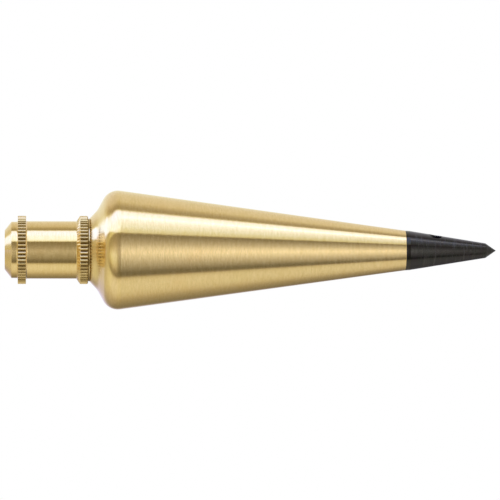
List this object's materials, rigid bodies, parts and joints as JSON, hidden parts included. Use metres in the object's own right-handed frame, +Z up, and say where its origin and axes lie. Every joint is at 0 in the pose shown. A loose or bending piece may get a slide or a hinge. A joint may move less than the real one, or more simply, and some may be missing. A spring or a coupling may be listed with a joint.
{
  "type": "plumb bob",
  "caption": "Long tapered brass plumb bob that hangs from a knurled screw-in cap and ends in a replaceable pointed steel tip.",
  "frame": {"origin": "the very point of the tip, on the bob's axis", "axes": "+Z up along the bob's axis, towards the line hole, as the bob hangs; +X along the cross hole in the tip"},
  "size_m": [0.0362, 0.0362, 0.15],
  "materials": {
    "brass": "fine turned satin under clear lacquer",
    "blackened_steel": "turned, hardened and blackened"
  },
  "bodies": {
    "cap": {"line_cap": "brass"},
    "bob": {"bob_body": "brass"},
    "tip": {"steel_tip": "blackened_steel"}
  },
  "joints": [
    {"name": "cap_unscrew", "type": "slide", "parent": "cap", "child": "bob", "axis": [0, 0, -1], "range_m": [0, 0.016]},
    {"name": "tip_unscrew", "type": "slide", "parent": "bob", "child": "tip", "axis": [0, 0, -1], "range_m": [0, 0.013]}
  ]
}
